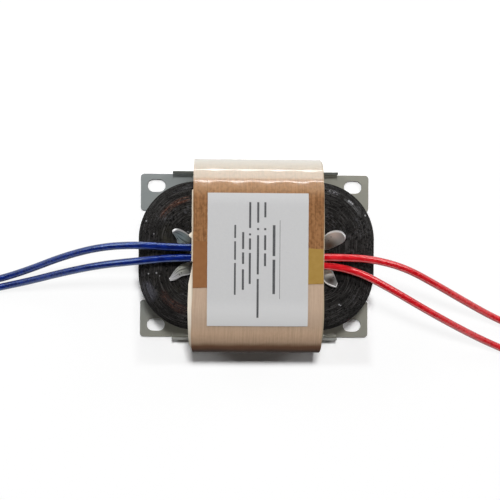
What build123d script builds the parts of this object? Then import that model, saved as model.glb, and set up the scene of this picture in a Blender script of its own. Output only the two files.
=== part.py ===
from build123d import *
import os
from math import pi, radians, sqrt, tan

# R-core transformer, lying on its mounting bracket: two coils on the long legs of a closed round-section core,
# belted together with paper and held by a folded sheet bracket whose tongues are bent over the core's ends.
# X runs along the coils, Y across them, Z up. The origin is the middle of the bracket's underside. Millimetres.

# Core: a closed ring of round section, wound with two long legs along X
core_diameter = 18.0
window_corner_radius = 2.2

# Bobbin and windings, as radii about a leg's axis
bobbin_bore_clearance = 0.25
bobbin_wall = 1.0
bobbin_length = 43.8
flange_thickness = 1.0
flange_lip = 0.48
coil_spacing = 1.6
winding_fit = 0.03
winding_end_fit = 0.05
primary_depth = 2.45
interlayer_tape_thickness = 0.3
secondary_depth = 2.3
coil_tape_thickness = 0.3

# Wraps round both coils, from the inside out
layer_fit = 0.03
cream_paper_thickness = 0.25
kraft_paper_thickness = 0.36
film_thickness = 0.1
wrap_overhang = 0.2
cream_setback = 0.1

# The cream paper stands out of the kraft paper on one side, seen from above
lip_reach = 1.6
lip_start_y = -1.8
lip_full_y = -8.4
lip_straight_end_y = -27.0
lip_end_y = -32.2
lip_bottom_drop = 11.0

# The film ends on a slightly slanted line across the front
film_end_y = -10.0
film_end_rise = 0.85

# Yellow tape and label on the front of the wrap
yellow_tape_width = 11.6
yellow_tape_top_y = 2.5
yellow_tape_thickness = 0.06
label_width = 34.0
label_top_y = 21.3
label_bottom_y = -23.6
label_centre_x = -0.2
label_thickness = 0.12

# Mounting bracket, folded from one sheet
sheet = 0.9
tongue_gap = 0.15
tongue_clearance = 0.1
fold_relief_width = 1.2
fold_relief_depth = 1.6
tongue_bend_radius = 0.85
side_flange_height = 5.5
side_flange_length = 60.0
side_flange_gap = 1.0
side_bend_radius = 2.4
side_relief_width = 0.06
side_relief_depth = 0.2
ear_overhang = 0.5
ear_setback = 0.75
ear_width = 13.5
ear_corner_radius = 1.3
notch_corner_radius = 1.5

# Slots in the ears, long way along X, for M4 screws
slot_width = 4.5
slot_length = 6.5
slot_inset_x = 5.75
slot_inset_y = 4.38

# Petals, each the hull of its root and some circles, by their reach from the wrap's side, place across and radius
petal_split = 4.4
petal_circles = {
    "left_rear": [(6.0, 7.5, 1.0), (3.7, 7.4, 1.5)],
    "left_front": [(7.2, -7.7, 0.7), (4.6, -5.0, 1.9)],
    "right_rear": [(5.0, 6.4, 2.6)],
    "right_front": [(3.9, -9.3, 1.3), (2.2, -6.0, 1.7), (1.4, -8.0, 1.5)],
}

# Leads and their splices
lead_diameter = 2.6
sleeve_diameter = 3.2
sleeve_length = 9.0
tinned_diameter = 1.3
tinned_length = 6.0
splice_seat = 0.23
lead_step = 1.9

# Sizes that follow from those above
core_radius = core_diameter / 2
core_corner_radius = core_radius + window_corner_radius
bobbin_bore = core_radius + bobbin_bore_clearance
bobbin_tube_radius = bobbin_bore + bobbin_wall
winding_layers = {
    "primary_winding": primary_depth,
    "interlayer_tape": interlayer_tape_thickness,
    "secondary_winding": secondary_depth,
    "coil_tape": coil_tape_thickness,
}
winding_radius = bobbin_tube_radius + sum(depth + winding_fit for depth in winding_layers.values())
flange_radius = winding_radius + flange_lip
leg_pitch = 2 * flange_radius + coil_spacing
lead_radius = lead_diameter / 2
flange_end = bobbin_length / 2
wrap_half_width = flange_end + wrap_overhang
cream_inner_radius = flange_radius + layer_fit
cream_outer_radius = cream_inner_radius + cream_paper_thickness
kraft_inner_radius = cream_outer_radius + layer_fit
kraft_outer_radius = kraft_inner_radius + kraft_paper_thickness
film_inner_radius = kraft_outer_radius + layer_fit
wrap_radius = film_inner_radius + film_thickness
axis_height = sheet + wrap_radius
tongue_inner = wrap_half_width + tongue_gap
tongue_outer = tongue_inner + sheet
tongue_half_width = leg_pitch / 2 - core_corner_radius
core_inner_end = tongue_outer + tongue_clearance
core_length = 2 * (core_inner_end + core_diameter)
leg_places = {"rear": leg_pitch / 2, "front": -leg_pitch / 2}

# Each lead's route, from its splice under the wrap to the end of its insulation on the bench
upper_z = axis_height + cream_inner_radius - splice_seat - sleeve_diameter / 2
lower_z = upper_z - lead_step
lead_routes = {
    "rear_blue_lead": [
        (-16.0, 2.7, upper_z), (-28.0, 2.7, upper_z), (-40.5, 3.6, 30.9), (-54.0, 2.8, 25.6), (-67.5, -0.6, 17.8),
        (-81.0, -5.6, 9.0), (-94.0, -9.6, 2.2), (-107.0, -11.2, 1.3), (-119.0, -8.4, 1.3), (-128.0, -1.2, 1.3),
        (-131.5, 9.0, 1.3), (-129.5, 19.0, 1.3),
    ],
    "front_blue_lead": [
        (-16.0, -0.6, upper_z), (-28.0, -0.6, upper_z), (-40.5, -1.9, 30.8), (-54.0, -3.4, 25.4), (-67.5, -6.2, 17.4),
        (-80.5, -9.5, 9.2), (-93.0, -12.2, 2.4), (-106.0, -15.0, 1.3), (-118.5, -19.6, 1.3), (-128.5, -27.6, 1.3),
        (-134.0, -38.0, 1.3), (-134.6, -48.5, 1.3),
    ],
    "rear_red_lead": [
        (16.0, -0.2, upper_z), (27.0, -0.2, upper_z), (38.5, -0.6, 30.9), (51.0, -3.6, 26.6), (63.5, -9.8, 20.4),
        (76.0, -16.3, 12.6), (88.0, -22.2, 4.8), (100.0, -27.0, 1.3), (112.5, -28.0, 1.3), (123.5, -22.8, 1.3),
        (130.0, -13.0, 1.3), (131.0, -2.0, 1.3),
    ],
    "front_red_lead": [
        (16.0, -2.9, lower_z), (24.5, -2.9, lower_z), (35.0, -5.3, 29.9), (46.0, -11.0, 27.4), (58.0, -17.7, 22.6),
        (70.0, -23.9, 15.6), (82.0, -29.6, 7.6), (93.5, -34.4, 2.0), (105.0, -39.2, 1.3), (117.0, -42.4, 1.3),
        (128.5, -40.6, 1.3), (137.0, -33.0, 1.3),
    ],
}

pieces = {}


# Core, wound from strip whose width changes so that its section comes out round
def round_ring(radius):
    """Closed ring of round section along the core's centreline."""
    with BuildSketch(Plane.XY.offset(axis_height)) as centreline:
        RectangleRounded(core_length - core_diameter, leg_pitch, core_corner_radius)
    path = centreline.sketch.face().outer_wire()
    with BuildPart() as ring:
        with BuildSketch(Plane(origin=path @ 0, z_dir=path % 0)):
            Circle(radius)
        sweep(path=path)
    return ring.part


pieces["r_core"] = round_ring(core_radius)


# Bobbins, each moulded as two halves that close round a leg
def leg_tube(inner, outer, half_length, y):
    """Plain tube about the leg at y."""
    with BuildPart() as tube:
        with BuildSketch(Plane.YZ.offset(-half_length)):
            with Locations((y, axis_height)):
                Circle(outer)
                Circle(inner, mode=Mode.SUBTRACT)
        extrude(amount=2 * half_length)
    return tube.part


def bobbin_half(y, keep):
    """Upper or lower half of the bobbin on the leg at y: half a tube with half a flange at each end."""
    with BuildPart() as bobbin:
        with BuildSketch(Plane.YZ.offset(-flange_end)):
            with Locations((y, axis_height)):
                Circle(bobbin_tube_radius)
        extrude(amount=bobbin_length)
        with BuildSketch(Plane.YZ.offset(-flange_end), Plane.YZ.offset(flange_end - flange_thickness)):
            with Locations((y, axis_height)):
                Circle(flange_radius)
        extrude(amount=flange_thickness)
        with BuildSketch(Plane.YZ.offset(-flange_end)):
            with Locations((y, axis_height)):
                Circle(bobbin_bore)
        extrude(amount=bobbin_length, mode=Mode.SUBTRACT)
        split(bisect_by=Plane.XY.offset(axis_height), keep=keep)
    return bobbin.part


for place, leg_y in leg_places.items():
    pieces[f"{place}_bobbin_upper_half"] = bobbin_half(leg_y, Keep.TOP)
    pieces[f"{place}_bobbin_lower_half"] = bobbin_half(leg_y, Keep.BOTTOM)

# Windings and tapes, layer on layer between the flanges of each bobbin
winding_half_length = flange_end - flange_thickness - winding_end_fit
for place, leg_y in leg_places.items():
    layer_radius = bobbin_tube_radius
    for layer, depth in winding_layers.items():
        layer_inner = layer_radius + winding_fit
        layer_radius = layer_inner + depth
        pieces[f"{place}_{layer}"] = leg_tube(layer_inner, layer_radius, winding_half_length, leg_y)


# Belts of paper and film round both coils
def belt(inner, outer, low_x, high_x):
    """Closed belt with two straight stretches, one over and one under the coils."""
    with BuildPart() as band:
        with BuildSketch(Plane.YZ.offset(low_x)):
            with Locations((0, axis_height)):
                SlotCenterToCenter(leg_pitch, 2 * outer)
                SlotCenterToCenter(leg_pitch, 2 * inner, mode=Mode.SUBTRACT)
        extrude(amount=high_x - low_x)
    return band.part


# Inner wrap of cream paper, whose skewed edge shows as a lip on the left
cream_half_width = wrap_half_width - cream_setback
lip_edge_x = -cream_half_width - lip_reach
lip_strip = belt(cream_inner_radius, cream_outer_radius, lip_edge_x, -cream_half_width)
with BuildPart() as cream_lip:
    add(lip_strip)
    with BuildSketch(Plane.XY.offset(axis_height + wrap_radius - lip_bottom_drop)):
        with BuildLine():
            edge = Polyline((lip_edge_x, lip_full_y), (lip_edge_x, lip_straight_end_y))
            ThreePointArc(
                edge @ 1,
                (lip_edge_x + 0.3 * lip_reach, (lip_straight_end_y + lip_end_y) / 2),
                (-cream_half_width, lip_end_y),
            )
            Polyline((-cream_half_width, lip_end_y), (-cream_half_width, lip_start_y), edge @ 0)
        make_face()
    extrude(amount=lip_bottom_drop, mode=Mode.INTERSECT)
cream_belt = belt(cream_inner_radius, cream_outer_radius, -cream_half_width, cream_half_width)
with BuildPart() as cream_wrap:
    add(cream_belt)
    add(cream_lip.part)
pieces["cream_paper_wrap"] = cream_wrap.part

# Kraft paper wrap, as wide as the bobbins and a little more
pieces["kraft_paper_wrap"] = belt(kraft_inner_radius, kraft_outer_radius, -wrap_half_width, wrap_half_width)

# Clear film over the kraft paper: it stops on a slanted line above and below, and leaves the front coil's round bare
film_belt = belt(film_inner_radius, wrap_radius, -wrap_half_width, wrap_half_width)
film_far_y = leg_pitch / 2 + wrap_radius + 1
with BuildPart() as film:
    add(film_belt)
    with BuildSketch(Plane.XY):
        with BuildLine():
            Polyline(
                (-wrap_half_width, film_end_y - film_end_rise),
                (wrap_half_width, film_end_y + film_end_rise),
                (wrap_half_width, film_far_y),
                (-wrap_half_width, film_far_y),
                close=True,
            )
        make_face()
    extrude(amount=axis_height + wrap_radius, mode=Mode.INTERSECT)
pieces["film_wrap"] = film.part

# Yellow tape strip, flat across the front over the film
wrap_top = axis_height + wrap_radius
with BuildPart() as yellow_tape:
    with BuildSketch(Plane.XY.offset(wrap_top)):
        with Locations((0, yellow_tape_top_y - yellow_tape_width / 2)):
            Rectangle(2 * wrap_half_width, yellow_tape_width)
    extrude(amount=yellow_tape_thickness)
pieces["yellow_tape"] = yellow_tape.part

# Label, over the tape and bent down a little over both coils
label_inner_radius = wrap_radius + yellow_tape_thickness
label_outer_radius = label_inner_radius + label_thickness
label_low_x = label_centre_x - label_width / 2
label_high_x = label_centre_x + label_width / 2
label_belt = belt(label_inner_radius, label_outer_radius, label_low_x, label_high_x)
with BuildPart() as label:
    add(label_belt)
    with BuildSketch(Plane.XY.offset(axis_height)):
        with Locations((label_centre_x, (label_top_y + label_bottom_y) / 2)):
            Rectangle(label_width, label_top_y - label_bottom_y)
    extrude(amount=label_outer_radius, mode=Mode.INTERSECT)
pieces["label"] = label.part

# Bracket: the side flanges stand clear of the wrap's round sides
flange_rise = max(0.0, wrap_radius + sheet - side_flange_height)
wrap_reach = leg_pitch / 2 + sqrt(wrap_radius**2 - flange_rise**2)
side_flange_outer = wrap_reach + side_flange_gap + sheet
ear_edge_y = side_flange_outer - ear_setback
ear_end_x = core_length / 2 + ear_overhang
notch_half_width = ear_edge_y - ear_width
slot_x = ear_end_x - slot_inset_x
slot_y = ear_edge_y - slot_inset_y
side_bend_start = side_flange_outer - side_bend_radius

# Petals: what the outlines cut from a shell that runs round the core just clear of it
petal_shell_outer = round_ring(core_radius + tongue_clearance + sheet)
petal_shell_inner = round_ring(core_radius + tongue_clearance)
petal_root_width = tongue_half_width - petal_split / 2
petal_root_middle = (tongue_half_width + petal_split / 2) / 2
petals = []
for name, circles in petal_circles.items():
    side_x = -1 if name.startswith("left") else 1
    side_y = -1 if name.endswith("front") else 1
    with BuildPart() as petal:
        with BuildSketch(Plane.XY.offset(axis_height)):
            with Locations((side_x * (tongue_inner + sheet / 2), side_y * petal_root_middle)):
                Rectangle(sheet, petal_root_width)
            for reach, circle_y, radius in circles:
                with Locations((side_x * (tongue_inner + reach), circle_y)):
                    Circle(radius)
            make_hull()
        extrude(amount=core_diameter)
        add(petal_shell_outer, mode=Mode.INTERSECT)
        add(petal_shell_inner, mode=Mode.SUBTRACT)
    petals.append(petal.part)

with BuildPart() as bracket:
    with BuildSketch():
        Rectangle(2 * ear_end_x, 2 * ear_edge_y)
        for side in (-1, 1):
            notch_length = ear_end_x - tongue_outer
            with Locations((side * (tongue_outer + notch_length / 2), 0)):
                Rectangle(notch_length, 2 * notch_half_width, mode=Mode.SUBTRACT)
            bend_depth = ear_edge_y - side_bend_start
            with Locations((0, side * (side_bend_start + bend_depth / 2))):
                Rectangle(side_flange_length, bend_depth, mode=Mode.SUBTRACT)
    extrude(amount=sheet)
    fillet(bracket.edges().filter_by(Axis.Z).group_by(Axis.X)[0], ear_corner_radius)
    fillet(bracket.edges().filter_by(Axis.Z).group_by(Axis.X)[-1], ear_corner_radius)
    notch_corners = bracket.edges().filter_by(Axis.Z).filter_by(
        lambda e: abs(abs(e.center().X) - tongue_outer) < 0.01 and abs(abs(e.center().Y) - notch_half_width) < 0.01
    )
    fillet(notch_corners, notch_corner_radius)
    with BuildSketch():
        fold_relief_x = tongue_outer - fold_relief_depth / 2
        fold_relief_y = tongue_half_width + fold_relief_width / 2
        with GridLocations(2 * fold_relief_x, 2 * fold_relief_y, 2, 2):
            Rectangle(fold_relief_depth, fold_relief_width)
    extrude(amount=sheet, mode=Mode.SUBTRACT)
    with BuildSketch(Plane.YZ.offset(-side_flange_length / 2)):
        for side in (-1, 1):
            with BuildLine():
                FilletPolyline(
                    (side * (side_bend_start - sheet), 0),
                    (side * side_flange_outer, 0),
                    (side * side_flange_outer, side_flange_height),
                    radius=side_bend_radius,
                )
                FilletPolyline(
                    (side * (side_bend_start - sheet), sheet),
                    (side * (side_flange_outer - sheet), sheet),
                    (side * (side_flange_outer - sheet), side_flange_height),
                    radius=side_bend_radius - sheet,
                )
                Line((side * (side_bend_start - sheet), 0), (side * (side_bend_start - sheet), sheet))
                Line(
                    (side * (side_flange_outer - sheet), side_flange_height),
                    (side * side_flange_outer, side_flange_height),
                )
            make_face()
    extrude(amount=side_flange_length)
    side_relief_x = (side_flange_length + side_relief_width) / 2
    side_relief_y = side_bend_start - side_relief_depth
    with BuildSketch():
        with GridLocations(2 * side_relief_x, 2 * side_relief_y + 2 * side_flange_outer, 2, 2):
            Rectangle(side_relief_width, 2 * (side_flange_outer - side_relief_y))
    extrude(amount=sheet, mode=Mode.SUBTRACT)
    with BuildSketch(Plane.XY):
        with GridLocations(2 * slot_x, 2 * slot_y, 2, 2):
            SlotOverall(slot_length, slot_width)
    extrude(amount=sheet, mode=Mode.SUBTRACT)
    with BuildSketch(Plane.XZ.offset(-tongue_half_width)):
        for side in (-1, 1):
            with BuildLine():
                FilletPolyline(
                    (side * tongue_inner, 0),
                    (side * tongue_outer, 0),
                    (side * tongue_outer, axis_height),
                    radius=tongue_bend_radius,
                )
                Polyline(
                    (side * tongue_outer, axis_height), (side * tongue_inner, axis_height), (side * tongue_inner, 0)
                )
            make_face()
    extrude(amount=2 * tongue_half_width)
    for petal_part in petals:
        add(petal_part)
pieces["mounting_bracket"] = bracket.part

# Splice sleeves under the wrap, in the hollow between the coils, one on the inner end of each lead
for name, route in lead_routes.items():
    lead_start = Vector(*route[0])
    inward = lead_start - Vector(*route[1])
    with BuildPart() as sleeve:
        with BuildSketch(Plane(origin=lead_start, z_dir=inward)):
            Circle(sleeve_diameter / 2)
        extrude(amount=sleeve_length)
    pieces[name.replace("lead", "splice_sleeve")] = sleeve.part


# Leads: straight runs joined by arcs as large as the runs allow
def corner_radii(route):
    """Radius at each inner point: the arc takes 0.45 of the shorter run on both sides of it."""
    points = [Vector(*point) for point in route]
    radii = []
    for before, here, after in zip(points, points[1:], points[2:]):
        run_in = here - before
        run_out = after - here
        half_turn = radians(run_in.get_angle(run_out)) / 2
        radii.append(0.45 * min(run_in.length, run_out.length) / tan(half_turn))
    return radii


for name, route in lead_routes.items():
    radii = corner_radii(route)
    with BuildLine() as lead_path:
        FilletPolyline(*route, radius=radii)
    lead_wire = lead_path.wire()
    with BuildPart() as lead:
        with BuildSketch(Plane(origin=lead_wire @ 0, z_dir=lead_wire % 0)):
            Circle(lead_radius)
        sweep(path=lead_wire)
    with BuildPart() as tinned_end:
        with BuildSketch(Plane(origin=lead_wire @ 1, z_dir=lead_wire % 1)):
            Circle(tinned_diameter / 2)
        extrude(amount=tinned_length)
    pieces[name] = lead.part
    pieces[name.replace("lead", "tinned_end")] = tinned_end.part
    expected_volume = pi * lead_radius**2 * lead_wire.length
    print(
        f"{name}: length {lead_wire.length:.1f}, volume {lead.part.volume:.1f} of {expected_volume:.1f},",
        "radii", ", ".join(f"{radius:.0f}" for radius in radii),
    )

os.makedirs("parts", exist_ok=True)
for name, piece in pieces.items():
    piece.label = name
    export_step(piece, f"parts/{name}.step")
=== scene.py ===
import bmesh
import bpy
import math
import random
from mathutils import Matrix, Vector


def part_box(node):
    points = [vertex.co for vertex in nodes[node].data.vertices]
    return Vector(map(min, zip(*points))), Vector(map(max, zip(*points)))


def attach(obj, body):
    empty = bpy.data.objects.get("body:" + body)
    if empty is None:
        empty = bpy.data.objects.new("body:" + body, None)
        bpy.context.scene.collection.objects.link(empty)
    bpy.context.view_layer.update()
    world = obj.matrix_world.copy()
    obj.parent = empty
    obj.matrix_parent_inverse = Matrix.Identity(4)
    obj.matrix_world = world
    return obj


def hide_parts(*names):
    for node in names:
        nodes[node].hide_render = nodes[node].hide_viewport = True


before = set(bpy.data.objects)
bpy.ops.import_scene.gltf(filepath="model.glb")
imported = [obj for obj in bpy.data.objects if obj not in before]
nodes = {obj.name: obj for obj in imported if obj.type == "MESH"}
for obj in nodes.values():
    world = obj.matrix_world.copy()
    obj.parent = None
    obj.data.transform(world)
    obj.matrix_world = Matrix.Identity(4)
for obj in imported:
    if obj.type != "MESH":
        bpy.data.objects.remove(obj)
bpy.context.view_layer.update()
dice = random.Random(8)

# Core: one long strip of silicon steel, slit so that it grows wider and then narrower again, wound up into a closed
# ring whose section comes out round. It is annealed, then dipped in black varnish, which stays thin on the strip's
# edges, so that they show as fine rings and let some brown through.
STRIP = 0.0003
STRIP_EDGE_SCATTER = 0.00007
STRIP_GROOVE = 0.00006
STRIP_EDGE_LEAN = 0.3
STRIP_CORNER = 0.12
CORE_CORNER = 0.0112
CORE_CORNER_STEPS = 26
RING_SOFTNESS = 0.0008
MAP = "places"

core_low, core_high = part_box("r_core")
core_axis_z = (core_low.z + core_high.z) / 2
core_radius = (core_high.z - core_low.z) / 2
core_half_length = core_high.x - core_radius
core_half_width = core_high.y - core_radius


def core_stations():
    """Points round the core's centreline with the outward direction at each."""
    stations = []
    for corner, (side_x, side_y) in enumerate(((1, 1), (-1, 1), (-1, -1), (1, -1))):
        centre = Vector((side_x * (core_half_length - CORE_CORNER), side_y * (core_half_width - CORE_CORNER), 0))
        for part in range(CORE_CORNER_STEPS + 1):
            angle = math.pi / 2 * (corner + part / CORE_CORNER_STEPS)
            outward = Vector((math.cos(angle), math.sin(angle), 0))
            stations.append((centre + CORE_CORNER * outward, outward))
    return stations


def strip_edges():
    """Upper outline of the core's section, as (distance outward, height): one leaning edge for each turn of strip."""
    outline = []
    for turn in range(round(2 * core_radius / STRIP)):
        inner = -core_radius + turn * STRIP
        middle = inner + STRIP / 2
        height = math.sqrt(core_radius**2 - middle**2)
        fall = max(-1.0, min(1.0, middle / height)) * STRIP_EDGE_LEAN * STRIP / 2
        height -= dice.uniform(0, STRIP_EDGE_SCATTER)
        if outline:
            outline.append((inner, min(outline[-1][1], height + fall) - STRIP_GROOVE))
        outline.append((inner + STRIP_CORNER * STRIP, height + fall))
        outline.append((inner + (1 - STRIP_CORNER) * STRIP, height - fall))
    return outline


def skin(name, rows, along, across):
    """Mesh over rows of points, with each face's place on the map in metres. A list of places that is one longer
    than the points closes the mesh that way round."""
    row_count = len(rows)
    point_count = len(rows[0])
    faces = []
    places = []
    for row in range(len(along) - 1):
        for point in range(len(across) - 1):
            square = ((row, point), (row + 1, point), (row + 1, point + 1), (row, point + 1))
            faces.append([(a % row_count) * point_count + b % point_count for a, b in square])
            places.extend((along[a], across[b]) for a, b in square)
    mesh = bpy.data.meshes.new(name)
    mesh.from_pydata([point for row in rows for point in row], [], faces)
    for corner, place in zip(mesh.uv_layers.new(name=MAP).data, places):
        corner.uv = place
    return mesh


def dress(mesh, sharp_angle=35):
    """Turn the faces outward and shade the mesh smooth between its sharp edges, which turn by this many degrees."""
    work = bmesh.new()
    work.from_mesh(mesh)
    bmesh.ops.recalc_face_normals(work, faces=work.faces)
    work.to_mesh(mesh)
    work.free()
    mesh.shade_smooth()
    mesh.set_sharp_from_angle(angle=math.radians(sharp_angle))
    return mesh


def fit(name, data, finish, slot, *solids):
    """Put a piece on the part in its finish, in place of its solids."""
    piece = bpy.data.objects.new(name, data)
    bpy.context.scene.collection.objects.link(piece)
    data.materials.append(finish)
    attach(piece, "root")
    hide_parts(*solids)
    return piece


def shade(red, green, blue):
    """Linear colour of a screen colour."""
    return (*[((part / 255 + 0.055) / 1.055) ** 2.4 if part > 10 else part / 3295 for part in (red, green, blue)], 1)


def new_finish(name, even):
    """Node material whose shader's sockets have these even values."""
    finish = bpy.data.materials.new(name)
    finish.use_nodes = True
    for socket, value in even.items():
        finish.node_tree.nodes["Principled BSDF"].inputs[socket].default_value = value
    return finish


def put(finish, kind, inputs, **settings):
    """Add a node to a finish. Each input is a value or another node's output."""
    node = finish.node_tree.nodes.new(kind)
    for name, value in settings.items():
        setattr(node, name, value)
    for socket, value in inputs.items():
        if isinstance(value, bpy.types.NodeSocket):
            finish.node_tree.links.new(value, node.inputs[socket])
        else:
            node.inputs[socket].default_value = value
    return node


def give(finish, socket, value):
    """Join a pattern to one of the shader's sockets."""
    finish.node_tree.links.new(value, finish.node_tree.nodes["Principled BSDF"].inputs[socket])


def mapped(finish):
    """Place on the piece's own map, in metres."""
    return put(finish, "ShaderNodeUVMap", {}, uv_map=MAP).outputs["UV"]


def standing(finish):
    """Place in the part's frame, in metres."""
    return put(finish, "ShaderNodeTexCoord", {}).outputs["Object"]


def cloud(finish, place, size, detail=3.0, seed=0.0):
    """Uneven pattern from 0 to 1, whose blotches have this size in metres."""
    scale = [1 / length for length in size]
    spread = put(finish, "ShaderNodeMapping", {"Vector": place, "Scale": scale, "Location": (seed, seed, seed)})
    return put(finish, "ShaderNodeTexNoise", {"Vector": spread.outputs[0], "Scale": 1.0, "Detail": detail}).outputs[0]


def coordinate(finish, place, axis):
    """One coordinate of a place."""
    return put(finish, "ShaderNodeSeparateXYZ", {"Vector": place}).outputs[axis]


def in_plan(finish, place):
    """The place with its height left out."""
    return put(finish, "ShaderNodeVectorMath", {0: place, 1: (1, 1, 0)}, operation="MULTIPLY").outputs[0]


def step(finish, value, low, high):
    """Soft step from 0 at low to 1 at high."""
    inputs = {"Value": value, "From Min": low, "From Max": high}
    return put(finish, "ShaderNodeMapRange", inputs, interpolation_type="SMOOTHSTEP").outputs[0]


def work_out(finish, kind, first, second=0.0):
    """Arithmetic on one or two values."""
    return put(finish, "ShaderNodeMath", {0: first, 1: second}, operation=kind).outputs[0]


def times(finish, first, second):
    """Two values multiplied."""
    return work_out(finish, "MULTIPLY", first, second)


def mix(finish, share, first, second):
    """Colour between two others, the second where share is 1."""
    return put(finish, "ShaderNodeMix", {0: share, 6: first, 7: second}, data_type="RGBA").outputs[2]


def near(finish, place, centre, reach):
    """1 at a centre, falling to 0 at this distance from it."""
    far = put(finish, "ShaderNodeVectorMath", {0: place, 1: centre}, operation="DISTANCE").outputs["Value"]
    return step(finish, far, reach, 0.0)


def relief(finish, height, depth):
    """Shallow relief of this depth in metres."""
    bump = put(finish, "ShaderNodeBump", {"Height": height, "Distance": depth})
    give(finish, "Normal", bump.outputs[0])


upper = strip_edges()
section = upper + [(outward, -height) for outward, height in reversed(upper)]
stations = core_stations()
core_rows = []
core_along = [0.0]
for index, (point, outward) in enumerate(stations):
    rise = Vector((0, 0, core_axis_z))
    core_rows.append([point + rise + outward * out + Vector((0, 0, height)) for out, height in section])
    core_along.append(core_along[-1] + (stations[(index + 1) % len(stations)][0] - point).length)
core_across = [out for out, height in section] + [section[0][0]]
core_mesh = dress(skin("r_core", core_rows, core_along, core_across), sharp_angle=24)

varnish = new_finish("black_core_varnish", {"Specular IOR Level": 0.06})
wound = mapped(varnish)
core_place = standing(varnish)
from_inside = coordinate(varnish, wound, "Y")
edge_lines = step(varnish, cloud(varnish, wound, (0.006, 0.00034, 1), 4.0), 0.46, 0.68)
patches = cloud(varnish, core_place, (0.011, 0.011, 0.011), 4.0)
grain = cloud(varnish, core_place, (0.0008, 0.0008, 0.0008), 4.0, 5.0)
body_colour = mix(varnish, patches, shade(18, 18, 19), shade(50, 48, 46))
body_colour = mix(varnish, times(varnish, edge_lines, 0.7), body_colour, shade(80, 78, 77))
body_colour = mix(varnish, step(varnish, grain, 0.48, 0.32), body_colour, shade(8, 8, 9))
bloom = times(varnish, step(varnish, grain, 0.54, 0.72), step(varnish, patches, 0.4, 0.62))
body_colour = mix(varnish, times(varnish, bloom, 0.55), body_colour, shade(96, 97, 102))
wear_and_sheen_lines = step(varnish, cloud(varnish, wound, (0.006, 0.00026, 1), 3.0, 11.0), 0.42, 0.56)
wear_and_sheen_dots = step(varnish, cloud(varnish, wound, (0.0007, 0.0003, 1), 2.0, 17.0), 0.52, 0.66)
# Rings where the varnish is worn, and one painted sheen: the middle of the place, its reach, the ring's inner and
# outer edge across the section, its strength, and the tints of its lines and dots.
for centre, reach, inner, outer, share, line_tint, dot_tint in (
    ((-0.0286, 0.0172, 0.0255), 0.0090, 0.0016, 0.0042, 0.55, shade(92, 54, 42), shade(190, 150, 130)),
    ((-0.0286, -0.0160, 0.0255), 0.0085, 0.0004, 0.0042, 0.45, shade(62, 44, 42), shade(140, 90, 72)),
    ((-0.0262, 0.0222, 0.0235), 0.0050, 0.0058, 0.0072, 0.18, shade(90, 90, 98), shade(200, 200, 208)),
    # Painted sheen: a reflection on the lower left of the core's outer side, painted into its colour.
    ((-0.0360, -0.0118, 0.0220), 0.0066, -0.0020, 0.0088, 0.45, shade(98, 98, 108), shade(136, 136, 146)),
    ((0.0262, 0.0218, 0.0245), 0.0034, 0.0046, 0.0074, 0.4, shade(66, 66, 70), shade(214, 214, 220)),
    ((0.0330, 0.0175, 0.0245), 0.0058, 0.0048, 0.0066, 0.5, shade(110, 110, 110), shade(160, 160, 160)),
):
    ring = times(varnish, step(varnish, from_inside, inner, inner + RING_SOFTNESS), wear_and_sheen_lines)
    ring = times(varnish, step(varnish, from_inside, outer, outer - RING_SOFTNESS), ring)
    ring = times(varnish, step(varnish, near(varnish, core_place, centre, reach), 0.1, 0.5), ring)
    ring_tint = mix(varnish, wear_and_sheen_dots, line_tint, dot_tint)
    body_colour = mix(varnish, times(varnish, ring, share), body_colour, ring_tint)
# Two oily places: middle and reach.
for centre, reach in (((-0.0310, 0.0070, 0.0270), 0.0045), ((-0.0310, -0.0108, 0.0270), 0.006)):
    oily = times(varnish, near(varnish, core_place, centre, reach), step(varnish, patches, 0.4, 0.6))
    body_colour = mix(varnish, times(varnish, oily, 0.55), body_colour, shade(78, 74, 34))
chips = 0.0
core_plan = in_plan(varnish, core_place)
# Chips in the varnish: place and reach, in millimetres.
for chip_x, chip_y, reach in (
    (-38.4, 11.9, 0.4), (-35.6, 7.4, 0.3), (-37.4, -6.3, 0.4), (-34.6, -6.0, 0.45), (-33.5, -7.0, 0.25),
    (31.7, 19.3, 0.6), (32.3, 18.9, 0.6), (32.9, 18.4, 0.55), (37.6, 14.4, 0.5), (28.3, -16.5, 0.4),
    (28.8, -16.8, 0.3), (25.0, 22.8, 0.3), (26.5, 22.3, 0.3), (-24.0, 8.2, 0.3),
):
    chip = near(varnish, core_plan, (chip_x / 1000, chip_y / 1000, 0), reach / 1000)
    chips = work_out(varnish, "MAXIMUM", chips, chip)
body_colour = mix(varnish, times(varnish, chips, 0.8), body_colour, shade(196, 196, 200))
give(varnish, "Base Color", body_colour)
gloss = put(varnish, "ShaderNodeMapRange", {"Value": grain, "To Min": 0.3, "To Max": 0.65})
give(varnish, "Roughness", gloss.outputs[0])
relief(varnish, work_out(varnish, "ADD", patches, grain), 0.00007)
fit("r_core_wound", core_mesh, varnish, "core_paint", "r_core")

# Bobbins: natural nylon mouldings, one for each leg. Each is made as two halves that close round the leg, so that
# it can be turned to wind it on the closed core.
nylon = new_finish("natural_nylon", {"Roughness": 0.42, "Subsurface Weight": 0.08, "Subsurface Scale": 0.001})
nylon_flow = cloud(nylon, standing(nylon), (0.006, 0.003, 0.003), 4.0)
give(nylon, "Base Color", mix(nylon, nylon_flow, shade(225, 218, 200), shade(238, 233, 219)))
relief(nylon, nylon_flow, 0.00005)


def paint(name, finish):
    """Give one of the CAD's own pieces its finish."""
    nodes[name].data.materials.clear()
    nodes[name].data.materials.append(finish)


for place in ("rear", "front"):
    for half in ("upper", "lower"):
        paint(f"{place}_bobbin_{half}_half", nylon)

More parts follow.
